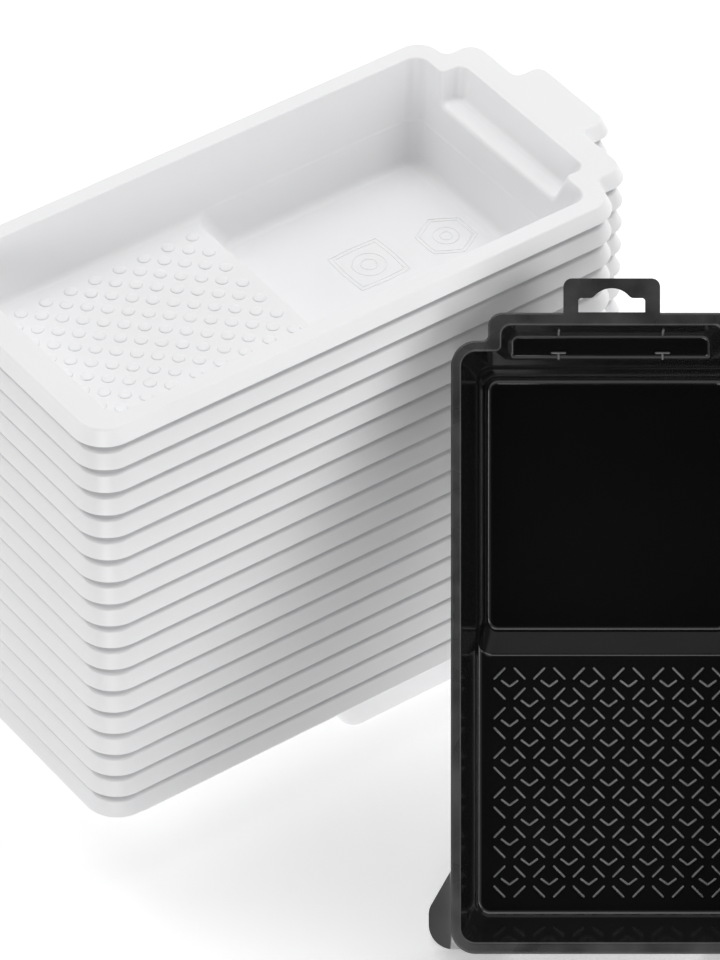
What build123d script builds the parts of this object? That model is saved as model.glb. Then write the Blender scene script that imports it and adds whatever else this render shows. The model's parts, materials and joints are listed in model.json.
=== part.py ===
from build123d import *
import math
import os
from typing import NamedTuple

# Paint roller tray with its stack of drop-in liners. Millimetres, +Z up.
# Each moulding is drawn in its own frame: x across, y from the shallow end to
# the deep end, z = 0 on the top of its rim, pockets below. The liners are then
# stacked upright, and the tray stands on its feet and leans in front of them.


class Rim(NamedTuple):
    """Plan of a rim: `steps` holds (half width, far edge) of its main part, neck and tab."""
    y_start: float
    steps: tuple
    start_radius: float
    corner_radii: tuple
    notch_radii: tuple


class Pocket(NamedTuple):
    """Drafted pocket: `top` and `floor` hold (half width, y start, y end) at those heights."""
    z_top: float
    top: tuple
    depth: float
    floor: tuple
    corner_radius: float
    edge_radius: float


# ---- driving dimensions: the rigid tray ----
TRAY_WALL = 2.0
TRAY_WIDTH = 150.0
TRAY_LENGTH = 300.0
NECK_WIDTH = 115.4
NECK_LENGTH = 13.0
LIP_HEIGHT = 6.0
LIP_WALL = 1.8
RIM_EDGE_RADIUS = 1.2

LEDGE_DEPTH = 16.0
ROLL_OFF_DEPTH = 33.0
WELL_DEPTH = 53.0
WELL_OVERLAP = 5.0          # how far the well's walls start above the roll-off floor

FOOT_TOP = 1.0              # below the rim's top
FOOT_DEPTH = 65.0
FOOT_FLARE = 10.0           # how far a foot widens sideways on its way down
FOOT_END_FLARE = 4.0        # and past the tray's shallow end
FOOT_CURVE = 1.7            # exponent of the flare: it starts slowly and ends fast
FOOT_WALL = 2.4
FOOT_INSET = 0.3            # keeps the foot's top inside the rim's lip
FOOT_SECTIONS = 4
FOOT_LENGTH = 34.0          # along the tray's side
FOOT_KNEE_Y = 15.3          # where the foot's flank turns in towards the tray
FOOT_END_REACH = 27.0       # along the tray's end, in from its side
FOOT_CORNER_RADIUS = 12.0
FOOT_KNEE_RADIUS = 9.0

HANGER_WIDTH = 45.1
HANGER_REACH = 16.0
HANGER_OVERLAP = 3.0        # how far the hanger tab runs back over the rim
HANGER_PLATE = 2.2
HANGER_LIP = 4.5
HANGER_CORNER_RADIUS = 4.0
SLOT_START = 0.2            # from the rim's far edge to the slot
SLOT_WIDTH = 31.2
SLOT_HEIGHT = 6.8
SLOT_HUMP_WIDTH = 17.8
SLOT_HUMP_HEIGHT = 4.6
SLOT_CORNER_RADIUS = 1.5
SLOT_HUMP_RADIUS = 3.0

RIB = 0.9                   # width of the raised ribs
RIB_HEIGHT = 0.6
GRIP_COLUMNS = 6
GRIP_ROWS = 6
GRIP_PITCH = 18.75
GRIP_CENTRE_Y = 78.1        # middle of the rib pattern on the roll-off floor
STROKE_LENGTH = 7.6
STROKE_OFFSET = 4.75        # from a diamond's centre to each stroke's middle, along x and y
CHEVRON_WIDTH = 8.0
CHEVRON_HEIGHT = 2.9
STOP_RIB_X = 24.4           # ribs on the ledge, either side of its middle
STOP_BAR_WIDTH = 6.8
STOP_BAR_Y = 281.2
STOP_STEM_LENGTH = 3.0
STOP_WALL_RIB_HEIGHT = 9.0
NOTCH_RADIUS = 3.0          # where the ledge opens into the main pocket
TRAY_OPENING_RADIUS = 1.2
TRAY_STEP_RADIUS = 2.0      # crest of the slope down to the well

# ---- driving dimensions: the liners ----
LINER_COUNT = 18
LINER_WALL = 0.8
LINER_CLEARANCE = 1.2       # between a liner's outside and the tray's inside
LINER_PITCH = 13.8
LINER_SIDE_HOOK = 2.0       # how far a liner's rim reaches past the tray's at the sides
LINER_END_HOOK = 7.0
SKIRT_HEIGHT = 7.6
SKIRT_FLARE = 3.6
SKIRT_EDGE_RADIUS = 1.4
LINER_OPENING_RADIUS = 0.9
LINER_STEP_RADIUS = 0.7
LINER_WELL_STEP = 0.4       # how far the well's sides stand in from the main pocket's
LINER_TAB_WIDTH = 52.0
LINER_TAB_REACH = 15.0

# ---- driving dimensions: how the pieces stand ----
STACK_YAW = 35.7            # from +X to the liners' long axis, seen from above
TRAY_TILT = 50.0            # from lying flat, deep end up
TRAY_OFFSET = 237.0         # from the top rim's near left corner to the tray's centre line, along X
LEAN_GAP = 0.6              # between the tray's back and the nearest liner

# ---- plans shared by the tray and its liners ----
TRAY_RIM = Rim(
    y_start=0,
    steps=((TRAY_WIDTH / 2, TRAY_LENGTH - NECK_LENGTH), (NECK_WIDTH / 2, TRAY_LENGTH)),
    start_radius=11.5,
    corner_radii=(12, 6.5),
    notch_radii=(2.5,),
)
LINER_RIM = Rim(
    y_start=-LINER_END_HOOK,
    steps=(
        (TRAY_WIDTH / 2 + LINER_SIDE_HOOK, TRAY_LENGTH - NECK_LENGTH + LINER_SIDE_HOOK),
        (NECK_WIDTH / 2 + LINER_SIDE_HOOK, TRAY_LENGTH + LINER_END_HOOK),
        (LINER_TAB_WIDTH / 2, TRAY_LENGTH + LINER_END_HOOK + LINER_TAB_REACH),
    ),
    start_radius=14,
    corner_radii=(12, 8, 5),
    notch_radii=(5, 4.5),
)
LEDGE = Pocket(0, (51.7, 250, 294.2), LEDGE_DEPTH, (46.6, 255, 289.3), 4.5, 2.5)
ROLL_OFF = Pocket(0, (70.4, 5.4, 282), ROLL_OFF_DEPTH, (62, 16, 274.4), 7, 3.5)
WELL = Pocket(-ROLL_OFF_DEPTH, (61, 138.4, 273.2), WELL_DEPTH, (57.8, 149.6, 268.6), 6.5, 4)

# The liners' pockets are the same, with softer corners, and their well's sides and
# end run almost straight on from the main pocket's.
draft = (WELL_DEPTH - ROLL_OFF_DEPTH) / ROLL_OFF_DEPTH
well_side = ROLL_OFF.floor[0] - LINER_WELL_STEP
well_end = ROLL_OFF.floor[2] - LINER_WELL_STEP
LINER_LEDGE = LEDGE._replace(corner_radius=7.5, edge_radius=5)
LINER_ROLL_OFF = ROLL_OFF._replace(corner_radius=10, edge_radius=6)
LINER_WELL = WELL._replace(
    top=(well_side, WELL.top[1], well_end),
    floor=(
        well_side - (ROLL_OFF.top[0] - ROLL_OFF.floor[0]) * draft,
        WELL.floor[1],
        well_end - (ROLL_OFF.top[2] - ROLL_OFF.floor[2]) * draft,
    ),
    corner_radius=10,
    edge_radius=7,
)

NEAR = 5.0                  # tolerance for picking an edge by its place
SMALL = 0.01                # tolerance for picking a corner, and clearance of a cutting tool


def rim_section(rim, grow):
    """Outline of a rim, grown outwards by `grow`."""
    with BuildSketch() as section:
        for half_width, y_end in rim.steps:
            with Locations((0, (rim.y_start + y_end) / 2)):
                Rectangle(2 * (half_width + grow), y_end - rim.y_start + 2 * grow)
        rounds = [(rim.steps[0][0] + grow, rim.y_start - grow, rim.start_radius + grow)]
        for (half_width, y_end), radius in zip(rim.steps, rim.corner_radii):
            rounds.append((half_width + grow, y_end + grow, radius + grow))
        for (_, y_end), (next_half, _), radius in zip(rim.steps, rim.steps[1:], rim.notch_radii):
            rounds.append((next_half + grow, y_end + grow, radius - grow))
        for x, y, radius in rounds:
            corner = Vector(x, y)
            pair = section.vertices().filter_by(
                lambda v: (Vector(abs(v.X), v.Y) - corner).length < SMALL
            )
            fillet(pair, radius)
    return section.sketch


def skirt_block(rim, height, flare, edge_radius, inset=0.0):
    """Solid block under a rim, widening downwards, `inset` inside the outer skin."""
    widening = math.degrees(math.atan2(flare, height))
    with BuildPart() as block:
        with BuildSketch(Plane.XY.offset(-inset)):
            add(rim_section(rim, -inset))
        extrude(amount=-(height - inset), taper=-widening)
        fillet(block.faces().sort_by(Axis.Z)[-1].edges(), edge_radius)
    return block.part


def pocket_solid(pocket, grow, overlap=0.0, drop=0.0):
    """Solid that fills a pocket, its sides grown by `grow` and its floor lowered by `drop`.

    `overlap` carries the drafted sides on upwards past the pocket's top.
    """
    share = overlap / (pocket.depth + pocket.z_top)
    x_top, y_top, y_top_end = (a + (a - b) * share for a, b in zip(pocket.top, pocket.floor))
    x_floor, y_floor, y_floor_end = pocket.floor
    z_top = pocket.z_top + overlap
    z_floor = -pocket.depth - drop
    with BuildPart() as solid:
        with BuildSketch(Plane.XZ):
            Polygon(
                (-x_top - grow, z_top),
                (-x_floor - grow, z_floor),
                (x_floor + grow, z_floor),
                (x_top + grow, z_top),
                align=None,
            )
        extrude(amount=2 * TRAY_LENGTH, both=True)
        with BuildSketch(Plane.YZ):
            Polygon(
                (y_top - grow, z_top),
                (y_floor - grow, z_floor),
                (y_floor_end + grow, z_floor),
                (y_top_end + grow, z_top),
                align=None,
            )
        extrude(amount=TRAY_WIDTH, both=True, mode=Mode.INTERSECT)
        corners = solid.edges().filter_by(lambda e: abs(e.tangent_at(0).Z) > 0.5)
        fillet(corners, pocket.corner_radius + grow)
        fillet(solid.faces().sort_by(Axis.Z)[0].edges(), pocket.edge_radius + grow)
    return solid.part


def notch_edges(part):
    """Edges that run down where the ledge pocket opens into the main pocket."""
    return part.edges().filter_by(
        lambda e: abs(e.tangent_at(0.5).Z) > 0.5
        and e.length > LEDGE_DEPTH / 2
        and abs(abs(e.center().X) - LEDGE.floor[0]) < NEAR
        and abs(e.center().Y - ROLL_OFF.top[2]) < NEAR
    )


def step_edges(part):
    """Crest of the slope between the roll-off floor and the well, above and below the wall."""
    return part.edges().filter_by(
        lambda e: e.length > WELL.floor[0]
        and abs(e.center().Y - WELL.top[1]) < NEAR
        and abs(e.center().Z + ROLL_OFF_DEPTH) < NEAR
    )


def rim_inner_edges(part):
    """Edges of the pockets' opening in the rim's flat top."""
    top_face = part.faces().sort_by(Axis.Z)[-1]
    return top_face.inner_wires().sort_by(SortBy.LENGTH)[-1].edges()


def foot_section(share):
    """Wall of one foot at a share of its way down, flaring out from the rim's corner."""
    bend = share**FOOT_CURVE
    x_out = TRAY_WIDTH / 2 - FOOT_INSET + FOOT_FLARE * bend
    y_out = FOOT_INSET - (FOOT_END_FLARE + FOOT_INSET) * bend
    x_side = TRAY_WIDTH / 2 - FOOT_TOP
    x_end = TRAY_WIDTH / 2 - FOOT_END_REACH
    x_in = x_out - FOOT_WALL
    y_in = y_out + FOOT_WALL
    y_knee_in = FOOT_KNEE_Y - FOOT_WALL / 4
    with BuildSketch(Plane.XY.offset(-FOOT_TOP - (FOOT_DEPTH - FOOT_TOP) * share)) as section:
        Polygon(
            (x_end, y_out),
            (x_out, y_out),
            (x_out, FOOT_KNEE_Y),
            (x_side, FOOT_LENGTH),
            (x_side - FOOT_WALL, FOOT_LENGTH),
            (x_in, y_knee_in),
            (x_in, y_in),
            (x_end, y_in),
            align=None,
        )
        for place, radius in (
            ((x_out, y_out), FOOT_CORNER_RADIUS),
            ((x_in, y_in), FOOT_CORNER_RADIUS - FOOT_WALL),
            ((x_out, FOOT_KNEE_Y), FOOT_KNEE_RADIUS),
            ((x_in, y_knee_in), FOOT_KNEE_RADIUS),
        ):
            fillet(section.vertices().sort_by_distance(place)[0], radius)
    return section.sketch


def foot():
    """The foot at the right of the tray's shallow end."""
    with BuildPart() as solid:
        loft([foot_section(i / (FOOT_SECTIONS - 1)) for i in range(FOOT_SECTIONS)])
    return solid.part


def grip_pattern():
    """Diamonds of four strokes on a square grid, with a chevron in each and in each gap."""
    with BuildSketch(Plane.XY.offset(-ROLL_OFF_DEPTH - RIB_HEIGHT)) as pattern:
        for quarter in range(4):
            turn = 45 + 90 * quarter
            dx = STROKE_OFFSET * (1 if quarter in (0, 3) else -1)
            dy = STROKE_OFFSET * (1 if quarter in (0, 1) else -1)
            with Locations((dx, GRIP_CENTRE_Y + dy)):
                with GridLocations(GRIP_PITCH, GRIP_PITCH, GRIP_COLUMNS, GRIP_ROWS):
                    SlotCenterToCenter(STROKE_LENGTH - RIB, RIB, rotation=turn + 90)
        lean = math.degrees(math.atan2(CHEVRON_HEIGHT, CHEVRON_WIDTH / 2))
        arm = math.hypot(CHEVRON_HEIGHT, CHEVRON_WIDTH / 2)
        for columns, rows in ((GRIP_COLUMNS, GRIP_ROWS), (GRIP_COLUMNS - 1, GRIP_ROWS - 1)):
            for side in (-1, 1):
                with Locations((side * CHEVRON_WIDTH / 4, GRIP_CENTRE_Y)):
                    with GridLocations(GRIP_PITCH, GRIP_PITCH, columns, rows):
                        SlotCenterToCenter(arm, RIB, rotation=side * lean)
    return pattern.sketch


def hanger_outline(inset=0.0):
    """Outline of the hanger tab, `inset` inside its edge."""
    half = HANGER_WIDTH / 2 - inset
    y_start = TRAY_LENGTH - HANGER_OVERLAP
    y_end = TRAY_LENGTH + HANGER_REACH - inset
    with BuildSketch() as outline:
        with Locations((0, (y_start + y_end) / 2)):
            Rectangle(2 * half, y_end - y_start)
        fillet(outline.vertices().group_by(Axis.Y)[-1], HANGER_CORNER_RADIUS - inset)
    return outline.sketch


def hanger_slot():
    """Hanging slot: a rounded bar with a hump in the middle of its far side."""
    half = SLOT_WIDTH / 2
    half_hump = SLOT_HUMP_WIDTH / 2
    y_start = TRAY_LENGTH + SLOT_START
    y_end = TRAY_LENGTH + SLOT_HEIGHT
    with BuildSketch() as slot:
        with BuildLine():
            Polyline(
                (-half_hump, y_end),
                (-half, y_end),
                (-half, y_start),
                (half, y_start),
                (half, y_end),
                (half_hump, y_end),
            )
            ThreePointArc((half_hump, y_end), (0, y_end + SLOT_HUMP_HEIGHT), (-half_hump, y_end))
        make_face()
        far_ends = slot.vertices().filter_by(
            lambda v: abs(v.X) > half - SMALL and v.Y > y_end - SMALL
        )
        fillet(far_ends, SLOT_CORNER_RADIUS)
        hump_feet = slot.vertices().filter_by(lambda v: abs(abs(v.X) - half_hump) < SMALL)
        fillet(hump_feet, SLOT_HUMP_RADIUS)
    return slot.sketch


# ---- the rigid tray ----
rim_shell = skirt_block(TRAY_RIM, LIP_HEIGHT, 0, RIM_EDGE_RADIUS)
rim_hollow = skirt_block(TRAY_RIM, LIP_HEIGHT + SMALL, 0, RIM_EDGE_RADIUS / 2, LIP_WALL)
right_foot = foot()
grip = grip_pattern()
hanger_face = hanger_outline()
hanger_inner = hanger_outline(LIP_WALL)
slot_face = hanger_slot()

with BuildPart() as tray:
    # rim with its downturned lip
    add(rim_shell)
    add(rim_hollow, mode=Mode.SUBTRACT)
    # hanger tab, a plate with the same lip
    with BuildSketch():
        add(hanger_face)
    extrude(amount=-HANGER_LIP)
    with BuildSketch(Plane.XY.offset(-HANGER_PLATE)):
        add(hanger_inner)
    extrude(amount=-HANGER_LIP, mode=Mode.SUBTRACT)
    with BuildSketch():
        add(slot_face)
    extrude(amount=-HANGER_LIP, mode=Mode.SUBTRACT)
    # feet at the shallow end
    add(right_foot)
    add(right_foot.mirror(Plane.YZ))
    # outer skins of the pockets, then the pockets themselves
    add(pocket_solid(LEDGE, TRAY_WALL, drop=TRAY_WALL))
    add(pocket_solid(ROLL_OFF, TRAY_WALL, drop=TRAY_WALL))
    add(pocket_solid(WELL, TRAY_WALL, WELL_OVERLAP, TRAY_WALL))
    add(pocket_solid(LEDGE, 0), mode=Mode.SUBTRACT)
    add(pocket_solid(ROLL_OFF, 0), mode=Mode.SUBTRACT)
    add(pocket_solid(WELL, 0, WELL_OVERLAP), mode=Mode.SUBTRACT)
    # softened edges
    fillet(notch_edges(tray), NOTCH_RADIUS)
    fillet(step_edges(tray), TRAY_STEP_RADIUS)
    fillet(rim_inner_edges(tray), TRAY_OPENING_RADIUS)
    # small ribs on the ledge: short ones up its back wall and T shapes on its floor
    wall_lean = (LEDGE.top[2] - LEDGE.floor[2]) / LEDGE_DEPTH
    rib_top = STOP_WALL_RIB_HEIGHT - LEDGE_DEPTH
    with BuildSketch(Plane.YZ.offset(STOP_RIB_X)):
        Polygon(
            (LEDGE.floor[2] - RIB, -LEDGE_DEPTH - RIB_HEIGHT),
            (LEDGE.floor[2] + RIB, -LEDGE_DEPTH - RIB_HEIGHT),
            (LEDGE.floor[2] + wall_lean * STOP_WALL_RIB_HEIGHT + RIB / 2, rib_top),
            (LEDGE.floor[2] + wall_lean * STOP_WALL_RIB_HEIGHT - RIB / 2, rib_top),
            align=None,
        )
    wall_rib = extrude(amount=RIB / 2, both=True)
    add(wall_rib.mirror(Plane.YZ))
    with BuildSketch(Plane.XY.offset(-LEDGE_DEPTH - RIB_HEIGHT)):
        with Locations((-STOP_RIB_X, STOP_BAR_Y), (STOP_RIB_X, STOP_BAR_Y)):
            Rectangle(STOP_BAR_WIDTH, RIB)
            Rectangle(RIB, STOP_STEM_LENGTH, align=(Align.CENTER, Align.MAX))
    extrude(amount=2 * RIB_HEIGHT)
    # raised ribs that squeeze the roller on the roll-off floor
    with BuildSketch(Plane.XY.offset(-ROLL_OFF_DEPTH - RIB_HEIGHT)):
        add(grip)
    extrude(amount=2 * RIB_HEIGHT)

# ---- one liner, which every liner of the stack repeats ----
skirt = skirt_block(LINER_RIM, SKIRT_HEIGHT, SKIRT_FLARE, SKIRT_EDGE_RADIUS)
skirt_hollow = skirt_block(
    LINER_RIM, SKIRT_HEIGHT + SMALL, SKIRT_FLARE, SKIRT_EDGE_RADIUS - LINER_WALL / 2, LINER_WALL
)
liner_pockets = ((LINER_LEDGE, 0), (LINER_ROLL_OFF, 0), (LINER_WELL, WELL_OVERLAP))
with BuildPart() as liner:
    add(skirt)
    add(skirt_hollow, mode=Mode.SUBTRACT)
    for pocket, overlap in liner_pockets:
        add(pocket_solid(pocket, -LINER_CLEARANCE, overlap))
    for pocket, overlap in liner_pockets:
        inside = pocket_solid(pocket, -LINER_CLEARANCE - LINER_WALL, overlap, -LINER_WALL)
        add(inside, mode=Mode.SUBTRACT)
    fillet(notch_edges(liner), NOTCH_RADIUS)
    fillet(step_edges(liner), LINER_STEP_RADIUS)
    fillet(rim_inner_edges(liner), LINER_OPENING_RADIUS)

# ---- how the pieces stand ----
# The liners' long axis is turned to STACK_YAW, and the lowest rests on its well.
# The tray is tipped up on its feet, and moved back until it all but touches them.
liner_turn = STACK_YAW - 90
stack_turn = Rotation(0, 0, liner_turn)
base_z = WELL_DEPTH
top_z = base_z + (LINER_COUNT - 1) * LINER_PITCH
near_corner = stack_turn * Pos(LINER_RIM.steps[0][0], LINER_RIM.y_start, top_z)

tipped = Rotation(TRAY_TILT, 0, 0) * tray.part
stand_height = -tipped.bounding_box().min.Z
tray_x = near_corner.position.X + TRAY_OFFSET
tipped = Pos(tray_x, 0, stand_height) * tipped
face_x = LINER_RIM.steps[0][0] + SKIRT_FLARE
reach_x = (Rotation(0, 0, -liner_turn) * tipped).bounding_box().min.X
tray_y = -(face_x + LEAN_GAP - reach_x) / math.cos(math.radians(STACK_YAW))

stood_tray = Pos(0, tray_y, 0) * tipped
stood_liners = [
    Pos(0, 0, base_z + i * LINER_PITCH) * stack_turn * liner.part for i in range(LINER_COUNT)
]
extent = stood_tray.bounding_box().add(stood_liners[0].bounding_box())
centring = Pos(-extent.center().X, -extent.center().Y, 0)

# ---- one STEP for each piece ----
os.makedirs("parts", exist_ok=True)
placed = centring * stood_tray
placed.label = "tray"
export_step(placed, "parts/tray.step")
for i, stood in enumerate(stood_liners):
    placed = centring * stood
    placed.label = f"liner_{i + 1:02d}"
    export_step(placed, f"parts/{placed.label}.step")
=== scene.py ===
import json
import math

import bmesh
import bpy
from mathutils import Matrix, Vector


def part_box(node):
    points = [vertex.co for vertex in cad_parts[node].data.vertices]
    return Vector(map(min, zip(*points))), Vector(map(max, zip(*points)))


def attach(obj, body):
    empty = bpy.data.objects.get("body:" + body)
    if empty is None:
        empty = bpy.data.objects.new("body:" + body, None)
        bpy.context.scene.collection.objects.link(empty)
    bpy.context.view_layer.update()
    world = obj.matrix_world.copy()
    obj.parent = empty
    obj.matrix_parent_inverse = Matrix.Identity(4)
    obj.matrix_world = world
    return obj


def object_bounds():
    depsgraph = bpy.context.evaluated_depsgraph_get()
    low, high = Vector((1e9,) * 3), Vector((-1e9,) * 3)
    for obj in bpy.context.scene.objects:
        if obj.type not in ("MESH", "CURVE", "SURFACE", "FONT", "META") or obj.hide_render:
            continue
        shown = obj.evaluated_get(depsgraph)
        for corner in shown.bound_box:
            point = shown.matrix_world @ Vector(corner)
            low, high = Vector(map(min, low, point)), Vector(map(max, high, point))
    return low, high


# Black roller tray leaning on a stack of white liners, in a white studio. Each
# moulding's details are drawn in its own frame: x across, y from its shallow end
# to its deep end, z = 0 on the top of its rim.

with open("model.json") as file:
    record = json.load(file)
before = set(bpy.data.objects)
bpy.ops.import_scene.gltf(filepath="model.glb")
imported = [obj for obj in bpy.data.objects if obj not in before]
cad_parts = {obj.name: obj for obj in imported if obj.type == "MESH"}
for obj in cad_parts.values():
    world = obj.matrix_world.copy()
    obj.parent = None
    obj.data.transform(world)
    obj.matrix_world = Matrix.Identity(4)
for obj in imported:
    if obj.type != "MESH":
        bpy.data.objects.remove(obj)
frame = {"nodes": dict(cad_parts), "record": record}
cad_low, cad_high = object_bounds()

MM = 0.001

# ---- how the mouldings stand and how deep they are, as in the CAD part ----
LINER_COUNT = 18
LINER_YAW = math.radians(35.7 - 90)
LINER_END = -10.6 * MM          # skirt's foot at the shallow end
LINER_WALL = 0.8 * MM
TRAY_TILT = math.radians(50)
TRAY_REACH = 316 * MM           # from the shallow end to the hanger's edge
TRAY_HALF_WIDTH = 75 * MM
LEDGE_DEPTH = 16 * MM
ROLL_OFF_DEPTH = 33 * MM
WELL_DEPTH = 53 * MM

# ---- camera ----
CAMERA_ELEVATION = math.radians(41.3)
CAMERA_DISTANCE = 2.9
LENS = 240
TOP_CORNER = Vector((77 * MM, -7 * MM, 0))      # near corner of the top liner's rim
AIM_RIGHT = 0.1195                              # from that corner to the picture's middle
AIM_DOWN = 0.0192

# ---- studio ----
SOFTBOXES = (                   # name, node it is placed by and aimed at or None for the middle of everything, offset, watts, width, height
    ("top_softbox", None, (0, 0.35, 1.3), 9.7, 2.4, 0.7),
    ("front_softbox", None, (-0.25, -1.43, 0.35), 4.5, 0.7, 0.3),
    ("left_strip", None, (-1.5, -0.5, 0.5), 0.4, 0.3, 1.2),
    ("right_strip", "tray", (1.1, -0.35, 0.35), 2.5, 0.25, 1.0),
)
WALLS_STRENGTH = 0.66
FLAG_STRENGTH = 0.02            # dark flag round the camera
FLAG_CORE = math.radians(19)
FLAG_EDGE = math.radians(48)
FLOOR_HALF_SIZE = 30
FLOOR_WHITE = 0.92
FLOOR_ROUGHNESS = 0.9
FLOOR_GLOW = 0.36

# ---- finishes: base colours and roughnesses, each from its lowest to its highest ----
WHITE_COLOUR = (0.87, 0.91)
WHITE_ROUGHNESS = (0.30, 0.40)
BLACK_COLOUR = (0.006, 0.05)    # inside, and the painted sheen on the rim where it is lightest
GLOSSY_ROUGHNESS = (0.08, 0.15)
SATIN_ROUGHNESS = (0.22, 0.46)
MATT_ROUGHNESS = (0.7, 0.8)
RIM_PAINTED_SHEEN = (0.45, 1)            # weakest and strongest painted sheen of the rim: a lighter colour standing in for reflection streaks
RIM_BAND = (-1.2 * MM, -0.3 * MM)               # below its top, where the satin and the rim's painted sheen fade in
SIDE_BAND = (TRAY_HALF_WIDTH - 0.8 * MM, TRAY_HALF_WIDTH - 0.1 * MM)    # where the matt does
# painted highlight: the ribs' grey base colour stands in for the light they catch
RIB_PAINTED_HIGHLIGHT = (0.12, 0.24)
RIB_ROUGHNESS = (0.16, 0.28)
SHEET_IOR = 1.48
MOULDING_IOR = 1.5
COOL_TINT = 1.01                # blue over red, in every grey
WAVE_STRENGTH = 0.5
GRAIN_STRENGTH = 0.4
NOISE_CORE = (0.3, 0.7)         # where most of a noise's values lie
SOFTER_CORE = (0.25, 0.75)
SHARPER_CORE = (0.35, 0.65)

# ---- raised details of the liners ----
BUMP_PITCH = 14 * MM
BUMP_CENTRE_Y = 76 * MM
BUMP_RADIUS = 3.3 * MM
BUMP_HEIGHT = 0.9 * MM
BUMP_GRIDS = ((8, 9), (7, 8))                   # columns and rows; the second fills the gaps
MARK_BEAD = 0.9 * MM
MARK_HEIGHT = 0.35 * MM
MARK_RINGS = ((1.0, 0.12), (0.86, 0.12), (0.42, 1.0), (0.2, 1.0))   # size, roundness
MARKS = (                                       # x, y, sides, radius, turn
    (-3 * MM, 203 * MM, 4, 20 * MM, math.pi / 4),
    (1 * MM, 246 * MM, 6, 15 * MM, 0),
)

# ---- ribs of the tray, over the plain ones of the CAD part ----
RIB_WIDTH = 1.2 * MM
RIB_HEIGHT = 0.95 * MM
GRIP_PITCH = 18.75 * MM
GRIP_CENTRE_Y = 78.1 * MM
GRIP_COUNT = 6
STROKE_LENGTH = 7.9 * MM
STROKE_OFFSET = 4.75 * MM                       # from a diamond's centre, along x and y
CHEVRON_HALF = 4 * MM
CHEVRON_HEIGHT = 2.9 * MM
STOP_X = 24.4 * MM
STOP_BAR_Y = 281.2 * MM
STOP_BAR_LENGTH = 7.2 * MM
STOP_STEM_Y = 279.7 * MM
STOP_STEM_LENGTH = 3.6 * MM
LEDGE_END = 289.3 * MM                          # foot of the ledge's back wall
LEDGE_LEAN = 4.9 * MM                           # how far that wall leans back up to the rim
WALL_RIB_CENTRE = 5.2 * MM                      # up that wall
WALL_RIB_LENGTH = 9.2 * MM
RIB_END_SHARE = 0.05                            # keeps a rib's end from closing to a point
SINK = 0.05 * MM                                # how far a raised detail starts below its floor


def liner_name(index):
    return f"liner_{index + 1:02d}"


def turned_extent(node, turn):
    """Lowest and highest corner of a node's mesh in a frame that `turn` turns."""
    back = turn.inverted()
    points = [back @ v.co for v in frame["nodes"][node].data.vertices]
    low = Vector(min(p[k] for p in points) for k in range(3))
    high = Vector(max(p[k] for p in points) for k in range(3))
    return low, high


def liner_matrix(index):
    turn = Matrix.Rotation(LINER_YAW, 4, "Z")
    low, high = turned_extent(liner_name(index), turn)
    return turn @ Matrix.Translation(((low.x + high.x) / 2, low.y - LINER_END, high.z))


def tray_matrix():
    turn = Matrix.Rotation(TRAY_TILT, 4, "X")
    low, high = turned_extent("tray", turn)
    return turn @ Matrix.Translation(((low.x + high.x) / 2, high.y - TRAY_REACH, high.z))


# ---- camera, light and floor ----
def link(name, data):
    made = bpy.data.objects.new(name, data)
    bpy.context.scene.collection.objects.link(made)
    return made


def aim(obj, target):
    obj.rotation_euler = (target - obj.location).to_track_quat("-Z", "Y").to_euler()


def make_camera():
    """Long lens that looks along +Y and down on the tray's opening."""
    forward = Vector((0, math.cos(CAMERA_ELEVATION), -math.sin(CAMERA_ELEVATION)))
    up = Vector((0, math.sin(CAMERA_ELEVATION), math.cos(CAMERA_ELEVATION)))
    corner = liner_matrix(LINER_COUNT - 1) @ TOP_CORNER
    target = corner + Vector((AIM_RIGHT, 0, 0)) - AIM_DOWN * up
    data = bpy.data.cameras.new("camera")
    data.sensor_width = 36
    data.lens = LENS
    data.clip_end = 100
    camera = link("camera", data)
    camera.location = target - CAMERA_DISTANCE * forward
    aim(camera, target)
    bpy.context.scene.camera = camera


def softbox(name, location, target, power, width, height):
    data = bpy.data.lights.new(name, "AREA")
    data.shape = "RECTANGLE"
    data.energy = power
    data.size = width
    data.size_y = height
    light = link(name, data)
    light.location = location
    aim(light, target)


def make_lights():
    middle = (cad_low + cad_high) / 2
    for name, node, offset, power, width, height in SOFTBOXES:
        target = middle
        if node:
            low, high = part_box(node)
            target = (low + high) / 2
        softbox(name, target + Vector(offset), target, power, width, height)


def make_studio():
    """White surroundings, dark behind the camera, so that gloss facing it stays black."""
    world = bpy.data.worlds.new("studio")
    world.use_nodes = True
    nodes, links = world.node_tree.nodes, world.node_tree.links
    background = nodes["Background"]
    background.inputs["Color"].default_value = (1, 1, 1, 1)
    facing = nodes.new("ShaderNodeVectorMath")
    facing.operation = "DOT_PRODUCT"
    facing.inputs[1].default_value = (0, -math.cos(CAMERA_ELEVATION), math.sin(CAMERA_ELEVATION))
    links.new(nodes.new("ShaderNodeTexCoord").outputs["Generated"], facing.inputs[0])
    fall = nodes.new("ShaderNodeMapRange")
    fall.interpolation_type = "SMOOTHSTEP"
    fall.inputs["From Min"].default_value = math.cos(FLAG_EDGE)
    fall.inputs["From Max"].default_value = math.cos(FLAG_CORE)
    fall.inputs["To Min"].default_value = WALLS_STRENGTH
    fall.inputs["To Max"].default_value = FLAG_STRENGTH
    links.new(facing.outputs["Value"], fall.inputs["Value"])
    links.new(fall.outputs["Result"], background.inputs["Strength"])
    bpy.context.scene.world = world
    bpy.context.scene.view_settings.view_transform = "Standard"


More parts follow.
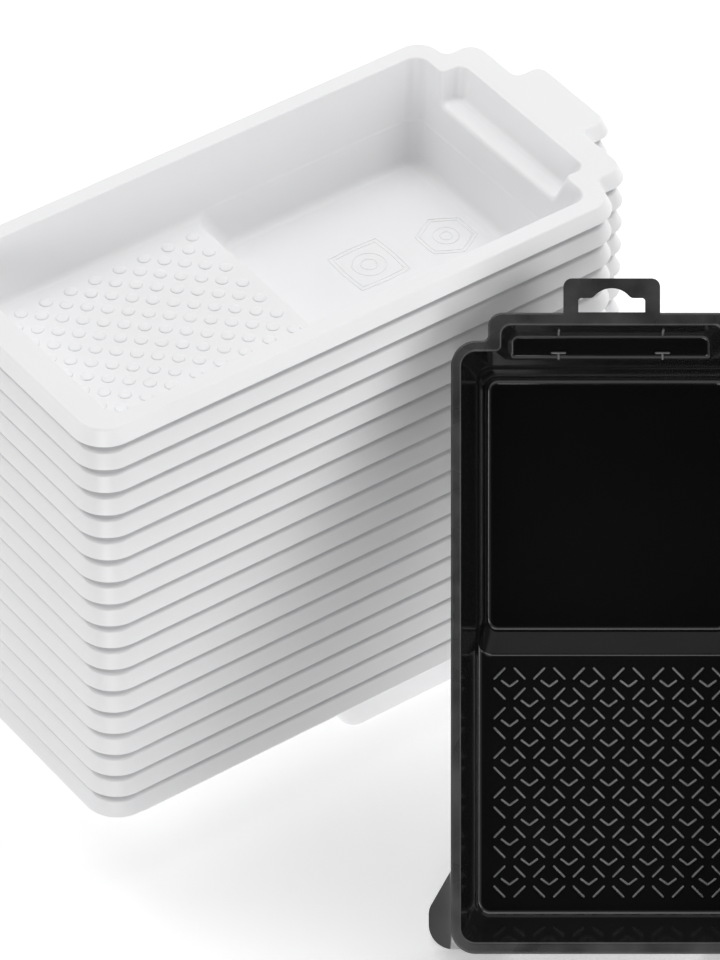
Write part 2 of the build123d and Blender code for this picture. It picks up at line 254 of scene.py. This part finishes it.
def make_floor():
    mesh = bpy.data.meshes.new("floor")
    bm = bmesh.new()
    bmesh.ops.create_grid(bm, x_segments=1, y_segments=1, size=FLOOR_HALF_SIZE)
    bm.to_mesh(mesh)
    bm.free()
    material = bpy.data.materials.new("floor_paper")
    material.use_nodes = True
    shader = material.node_tree.nodes["Principled BSDF"]
    shader.inputs["Base Color"].default_value = (FLOOR_WHITE, FLOOR_WHITE, FLOOR_WHITE, 1)
    shader.inputs["Roughness"].default_value = FLOOR_ROUGHNESS
    shader.inputs["Emission Color"].default_value = (1, 1, 1, 1)
    shader.inputs["Emission Strength"].default_value = FLOOR_GLOW
    mesh.materials.append(material)
    link("floor", mesh)


# ---- materials ----
class Graph:
    """A material's node tree, with short names for the nodes used here."""

    def __init__(self, name, ior):
        self.material = bpy.data.materials.new(name)
        self.material.use_nodes = True
        self.tree = self.material.node_tree
        self.shader = self.tree.nodes["Principled BSDF"]
        self.shader.inputs["IOR"].default_value = ior

    def node(self, kind, **settings):
        made = self.tree.nodes.new(kind)
        for key, value in settings.items():
            setattr(made, key, value)
        return made

    def link(self, out, into):
        self.tree.links.new(out, into)

    def finish(self, colour, roughness, normal):
        self.link(colour, self.shader.inputs["Base Color"])
        self.link(roughness, self.shader.inputs["Roughness"])
        self.link(normal, self.shader.inputs["Normal"])
        return self.material

    def coordinates(self):
        return self.node("ShaderNodeTexCoord").outputs["Object"]

    def noise(self, scale, detail=3):
        made = self.node("ShaderNodeTexNoise")
        made.inputs["Scale"].default_value = scale
        made.inputs["Detail"].default_value = detail
        self.link(self.coordinates(), made.inputs["Vector"])
        return made.outputs["Fac"]

    def along(self, direction, start):
        """Distance along a direction, in metres, from a starting level."""
        dot = self.node("ShaderNodeVectorMath", operation="DOT_PRODUCT")
        self.link(self.coordinates(), dot.inputs[0])
        dot.inputs[1].default_value = direction
        made = self.node("ShaderNodeMath", operation="SUBTRACT")
        self.link(dot.outputs["Value"], made.inputs[0])
        made.inputs[1].default_value = start
        return made.outputs["Value"]

    def size_of(self, value):
        made = self.node("ShaderNodeMath", operation="ABSOLUTE")
        self.link(value, made.inputs[0])
        return made.outputs["Value"]

    def ramp(self, value, span, results):
        """Value carried from its own span to a span of results, and held at their ends."""
        made = self.node("ShaderNodeMapRange")
        made.inputs["From Min"].default_value = span[0]
        made.inputs["From Max"].default_value = span[1]
        made.inputs["To Min"].default_value = results[0]
        made.inputs["To Max"].default_value = results[1]
        self.link(value, made.inputs["Value"])
        return made.outputs["Result"]

    def times(self, a, b):
        made = self.node("ShaderNodeMath", operation="MULTIPLY")
        self.link(a, made.inputs[0])
        self.link(b, made.inputs[1])
        return made.outputs["Value"]

    def blend(self, factor, a, b):
        made = self.node("ShaderNodeMix")
        self.link(factor, made.inputs["Factor"])
        self.link(a, made.inputs["A"])
        self.link(b, made.inputs["B"])
        return made.outputs["Result"]

    def grey(self, factor, shades):
        """Neutral colour between a dark and a light shade."""
        dark, light = shades
        made = self.node("ShaderNodeMix", data_type="RGBA")
        self.link(factor, made.inputs["Factor"])
        made.inputs["A"].default_value = (dark, dark, dark * COOL_TINT, 1)
        made.inputs["B"].default_value = (light, light, light * COOL_TINT, 1)
        return made.outputs["Result"]

    def surface(self, wave_scale, wave_height, grain_scale, grain_height):
        """Long shallow waves of a moulded sheet, with a fine grain over them."""
        wave = self.node("ShaderNodeBump")
        wave.inputs["Strength"].default_value = WAVE_STRENGTH
        wave.inputs["Distance"].default_value = wave_height
        self.link(self.noise(wave_scale, detail=1), wave.inputs["Height"])
        grain = self.node("ShaderNodeBump")
        grain.inputs["Strength"].default_value = GRAIN_STRENGTH
        grain.inputs["Distance"].default_value = grain_height
        self.link(self.noise(grain_scale, detail=2), grain.inputs["Height"])
        self.link(wave.outputs["Normal"], grain.inputs["Normal"])
        return grain.outputs["Normal"]


def white_plastic():
    """Thin thermoformed sheet: satin white, faintly wavy."""
    g = Graph("white_thermoformed", SHEET_IOR)
    return g.finish(
        g.grey(g.noise(18), WHITE_COLOUR),
        g.ramp(g.noise(60), NOISE_CORE, WHITE_ROUGHNESS),
        g.surface(wave_scale=25, wave_height=0.6 * MM, grain_scale=2500, grain_height=0.02 * MM),
    )


def black_plastic():
    """Injection-moulded tray: glossy inside, satin on rim and hanger, matt outside, with a painted
    sheen lightening the colour at rim level.
    """
    g = Graph("black_moulded", MOULDING_IOR)
    place = tray_matrix()
    normal = (place.to_3x3() @ Vector((0, 0, 1))).normalized()
    height = g.along(normal, place.translation.dot(normal))
    rim = g.ramp(height, RIM_BAND, (0, 1))
    aside = g.size_of(g.along((1, 0, 0), place.translation.x))
    outside = g.ramp(aside, SIDE_BAND, (0, 1))
    glossy = g.ramp(g.noise(35), NOISE_CORE, GLOSSY_ROUGHNESS)
    satin = g.ramp(g.noise(45, detail=1), SOFTER_CORE, SATIN_ROUGHNESS)
    # painted sheen: the base colour at rim level is lightened in noisy streaks to stand in for
    # reflections of the lights
    painted_rim_sheen = g.times(rim, g.ramp(g.noise(70, detail=4), SHARPER_CORE, RIM_PAINTED_SHEEN))
    matt = g.ramp(g.noise(60), (0, 1), MATT_ROUGHNESS)
    return g.finish(
        g.grey(painted_rim_sheen, BLACK_COLOUR),
        g.blend(outside, g.blend(rim, glossy, satin), matt),
        g.surface(wave_scale=30, wave_height=0.4 * MM, grain_scale=1800, grain_height=0.03 * MM),
    )


def painted_highlight_rib_plastic():
    """The same black plastic on the ribs, painted a light grey that stands in for the highlights
    they catch.
    """
    g = Graph("ribs_painted_highlight", MOULDING_IOR)
    return g.finish(
        # painted highlight, mottled
        g.grey(g.noise(400), RIB_PAINTED_HIGHLIGHT),
        g.ramp(g.noise(200), NOISE_CORE, RIB_ROUGHNESS),
        g.surface(wave_scale=200, wave_height=0.05 * MM, grain_scale=3000, grain_height=0.01 * MM),
    )


# ---- raised details ----
def new_piece(name, bm, material, node):
    mesh = bpy.data.meshes.new(name)
    bm.to_mesh(mesh)
    bm.free()
    for face in mesh.polygons:
        face.use_smooth = True
    mesh.materials.append(material)
    piece = link(name, mesh)
    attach(piece, body_of_node[node])


def dome(bm, place, centre, rings=4, sides=20):
    """Low round bump, closed underneath."""
    rows = []
    for ring in range(rings):
        angle = math.pi / 2 * ring / rings
        radius = BUMP_RADIUS * math.cos(angle)
        rise = BUMP_HEIGHT * math.sin(angle) - SINK
        row = []
        for k in range(sides):
            turn = 2 * math.pi * k / sides
            offset = Vector((radius * math.cos(turn), radius * math.sin(turn), rise))
            row.append(bm.verts.new(place @ (centre + offset)))
        rows.append(row)
    top = bm.verts.new(place @ (centre + Vector((0, 0, BUMP_HEIGHT - SINK))))
    for lower, upper in zip(rows, rows[1:]):
        for k in range(sides):
            beyond = (k + 1) % sides
            bm.faces.new((lower[k], lower[beyond], upper[beyond], upper[k]))
    for k in range(sides):
        bm.faces.new((rows[-1][k], rows[-1][(k + 1) % sides], top))
    bm.faces.new(list(reversed(rows[0])))


def make_bumps(index):
    """Bumps of a liner's roll-off floor: a square grid and a second one in its gaps."""
    place = liner_matrix(index)
    bm = bmesh.new()
    for columns, rows in BUMP_GRIDS:
        for i in range(columns):
            for j in range(rows):
                x = (i - (columns - 1) / 2) * BUMP_PITCH
                y = BUMP_CENTRE_Y + (j - (rows - 1) / 2) * BUMP_PITCH
                dome(bm, place, Vector((x, y, LINER_WALL - ROLL_OFF_DEPTH)))
    name = liner_name(index)
    new_piece(f"{name}_bumps", bm, white, name)


def bead(bm, place, path, closed, width, height, facets=6):
    """Raised bead, half round in section, along (point, share of full size) pairs."""
    count = len(path)
    rows = []
    for k, (point, share) in enumerate(path):
        before = path[k - 1][0] if k or closed else point
        after = path[(k + 1) % count][0] if k < count - 1 or closed else point
        along = (after - before).normalized()
        side = Vector((-along.y, along.x, 0))
        row = []
        for facet in range(facets + 1):
            angle = math.pi * facet / facets
            offset = side * (math.cos(angle) * width / 2 * share)
            rise = Vector((0, 0, math.sin(angle) * height * share - SINK))
            row.append(bm.verts.new(place @ (point + offset + rise)))
        rows.append(row)
    pairs = list(zip(rows, rows[1:]))
    if closed:
        pairs.append((rows[-1], rows[0]))
    else:
        bm.faces.new(list(reversed(rows[0])))
        bm.faces.new(rows[-1])
    for first, second in pairs:
        for facet in range(facets + 1):
            beyond = (facet + 1) % (facets + 1)
            bm.faces.new((first[facet], first[beyond], second[beyond], second[facet]))


def outline(centre, radius, sides, turn, roundness, steps=72):
    """Closed path of a polygon whose sides bulge by `roundness` towards a circle."""
    path = []
    for k in range(steps):
        angle = 2 * math.pi * k / steps
        from_side = angle % (2 * math.pi / sides) - math.pi / sides
        straight = math.cos(math.pi / sides) / math.cos(from_side)
        reach = radius * (roundness + (1 - roundness) * straight)
        spoke = Vector((math.cos(angle + turn), math.sin(angle + turn), 0))
        path.append((centre + reach * spoke, 1))
    return path


def make_marks(index):
    """Two plain moulded marks in the well: a rounded square and a hexagon, with rings."""
    place = liner_matrix(index)
    bm = bmesh.new()
    for x, y, sides, radius, turn in MARKS:
        centre = Vector((x, y, LINER_WALL - WELL_DEPTH))
        for share, roundness in MARK_RINGS:
            path = outline(centre, radius * share, sides, turn, roundness)
            bead(bm, place, path, True, MARK_BEAD, MARK_HEIGHT, facets=4)
    name = liner_name(index)
    new_piece(f"{name}_marks", bm, white, name)


def rib(bm, place, centre, length, angle, steps=4):
    """Straight rib with rounded ends."""
    direction = Vector((math.cos(angle), math.sin(angle), 0))
    radius = RIB_WIDTH / 2
    half = length / 2
    run = []
    for k in range(steps):
        turn = math.pi / 2 * k / steps
        run.append((-half + radius * (1 - math.cos(turn)), max(math.sin(turn), RIB_END_SHARE)))
    run.append((-half + radius, 1))
    run += [(-place_along, share) for place_along, share in reversed(run)]
    path = [(centre + direction * place_along, share) for place_along, share in run]
    bead(bm, place, path, False, RIB_WIDTH, RIB_HEIGHT)


def make_ribs():
    """Grip ribs of the roll-off floor, and the stops on the ledge and up its back wall.

    Diamonds of four strokes stand on a square grid, with a chevron in each diamond
    and one in each gap between them.
    """
    place = tray_matrix()
    bm = bmesh.new()
    lean = math.atan2(CHEVRON_HEIGHT, CHEVRON_HALF)
    chevron_length = math.hypot(CHEVRON_HALF, CHEVRON_HEIGHT) + RIB_WIDTH / 2
    for count in (GRIP_COUNT, GRIP_COUNT - 1):
        for i in range(count):
            for j in range(count):
                x = (i - (count - 1) / 2) * GRIP_PITCH
                y = GRIP_CENTRE_Y + (j - (count - 1) / 2) * GRIP_PITCH
                for side in (-1, 1):
                    arm = Vector((x + side * CHEVRON_HALF / 2, y, -ROLL_OFF_DEPTH))
                    rib(bm, place, arm, chevron_length, side * lean)
                    if count < GRIP_COUNT:
                        continue
                    for end in (-1, 1):
                        offset = Vector((side * STROKE_OFFSET, end * STROKE_OFFSET, 0))
                        centre = Vector((x, y, -ROLL_OFF_DEPTH)) + offset
                        rib(bm, place, centre, STROKE_LENGTH, -side * end * math.pi / 4)
    wall = place @ Matrix.Translation((0, LEDGE_END, -LEDGE_DEPTH))
    wall = wall @ Matrix.Rotation(math.atan2(LEDGE_DEPTH, LEDGE_LEAN), 4, "X")
    for x in (-STOP_X, STOP_X):
        rib(bm, place, Vector((x, STOP_BAR_Y, -LEDGE_DEPTH)), STOP_BAR_LENGTH, 0)
        rib(bm, place, Vector((x, STOP_STEM_Y, -LEDGE_DEPTH)), STOP_STEM_LENGTH, math.pi / 2)
        rib(bm, wall, Vector((x, WALL_RIB_CENTRE, 0)), WALL_RIB_LENGTH, math.pi / 2)
    new_piece("tray_ribs", bm, painted_highlight_rib_plastic(), "tray")


make_camera()
make_lights()
make_studio()
make_floor()

body_of_node = {}
for body, nodes in frame["record"]["behaviour"]["bodies"].items():
    for node in nodes:
        body_of_node[node] = body

white = white_plastic()
black = black_plastic()
for name, obj in frame["nodes"].items():
    obj.data.materials.clear()
    obj.data.materials.append(black if name == "tray" else white)
for index in range(LINER_COUNT):
    make_bumps(index)
    make_marks(index)
make_ribs()
